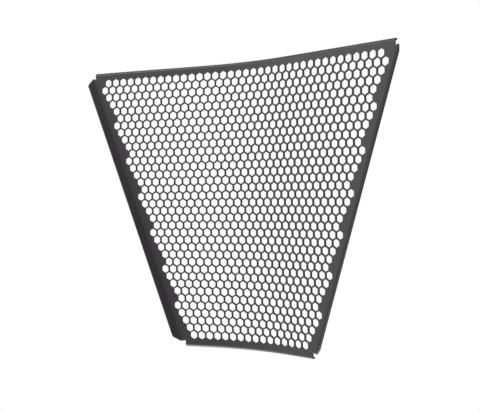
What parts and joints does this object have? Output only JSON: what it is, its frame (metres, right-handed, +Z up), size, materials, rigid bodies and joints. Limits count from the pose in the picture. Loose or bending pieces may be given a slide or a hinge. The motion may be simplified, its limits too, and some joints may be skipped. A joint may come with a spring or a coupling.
{
  "type": "motorcycle radiator guard",
  "caption": "Black honeycomb radiator guard for a motorcycle: one curved, perforated aluminium sheet with folded edges and rear mounting ears.",
  "frame": {"origin": "half way between the two top mounting holes, on the upper face of their tabs", "axes": "+X to the viewer's right when the guard is seen from the road side, +Y from the road side back to the radiator, +Z up"},
  "size_m": [0.3604, 0.0547, 0.297],
  "materials": {
    "powder_coat": "satin"
  },
  "bodies": {
    "root": {"guard_panel": "powder_coat"}
  },
  "joints": []
}
